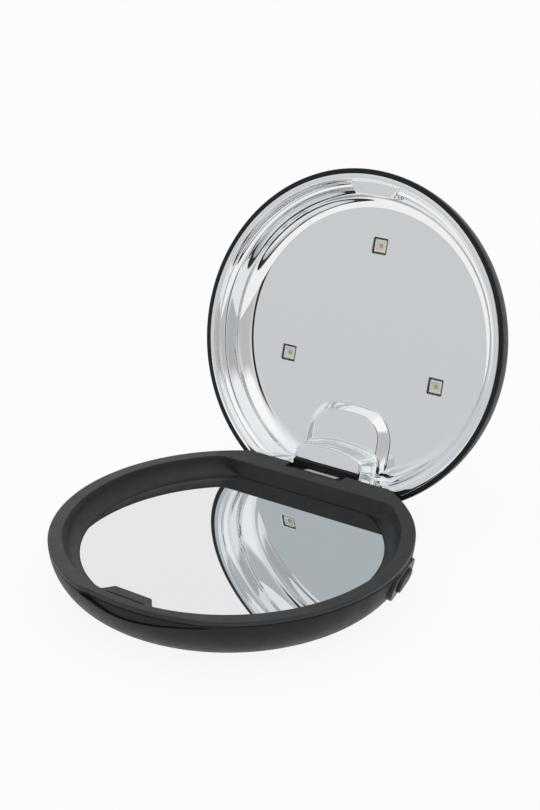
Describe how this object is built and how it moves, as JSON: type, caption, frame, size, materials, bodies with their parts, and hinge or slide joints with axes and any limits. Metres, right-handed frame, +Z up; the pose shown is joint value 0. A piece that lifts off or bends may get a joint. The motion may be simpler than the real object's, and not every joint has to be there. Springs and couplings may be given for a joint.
{
  "type": "uv sanitizing case",
  "caption": "Round black clamshell sanitizing case on a rear hinge, with a mirrored tray, a chrome lid reflector holding square ultraviolet emitters, and a side push button.",
  "frame": {"origin": "centre of the ring foot that the case stands on, which is also the centre of the round plan", "axes": "+X to the right along the hinge pin, +Y from the latch towards the hinge, +Z up from the table; the lid stands open at rest"},
  "size_m": [0.0945, 0.1253, 0.0936],
  "materials": {
    "black_shell": "matte, finely textured black moulding",
    "black_tray": "matte black moulding",
    "mirror_plate": "polished mirror plate",
    "foot_rubber": "soft black rubber",
    "steel": "plain steel",
    "black_bezel": "matte black moulding",
    "black_button": "soft-touch black",
    "switch_metal": "tinned steel switch case",
    "circuit_board": "green solder mask",
    "chip_black": "black epoxy",
    "battery_foil": "laminated foil pouch",
    "port_metal": "stainless receptacle shell",
    "magnet_plating": "nickel plated magnet",
    "bright_plate": "pale bright plate",
    "chrome_reflector": "bright chrome plating on a moulding",
    "white_board": "white solder mask",
    "led_ceramic": "white ceramic package",
    "die_gold": "gold coloured emitter die",
    "quartz": "clear quartz window",
    "white_nylon": "white connector housing"
  },
  "bodies": {
    "base": {"base_shell": "black_shell", "base_tray": "black_tray", "base_mirror": "mirror_plate", "foot_ring": "foot_rubber", "base_screws": "steel", "hinge_pin": "steel", "button_bezel": "black_bezel", "button_switch": "switch_metal", "control_board": "circuit_board", "board_chips": "chip_black", "battery": "battery_foil", "port_shell": "port_metal", "port_tongue": "chip_black", "base_magnet": "magnet_plating"},
    "lid": {"lid_shell": "black_shell", "arm_plate": "bright_plate", "reflector": "chrome_reflector", "led_board": "white_board", "led_front": "led_ceramic", "led_left": "led_ceramic", "led_right": "led_ceramic", "led_dies": "die_gold", "led_windows": "quartz", "led_connector": "white_nylon", "board_screws": "steel", "lid_magnet": "magnet_plating"},
    "button": {"power_button": "black_button"}
  },
  "joints": [
    {"name": "lid_hinge", "type": "hinge", "parent": "base", "child": "lid", "pos_m": [0, 0.04007, 0.01084], "axis": [1, 0, 0], "range_deg": [0, 105.9]},
    {"name": "button_press", "type": "slide", "parent": "base", "child": "button", "axis": [-0.9537, -0.1785, 0.2419], "range_m": [0, 0.00035], "stiffness_N_per_m": 2000, "springref_m": -0.0003}
  ]
}
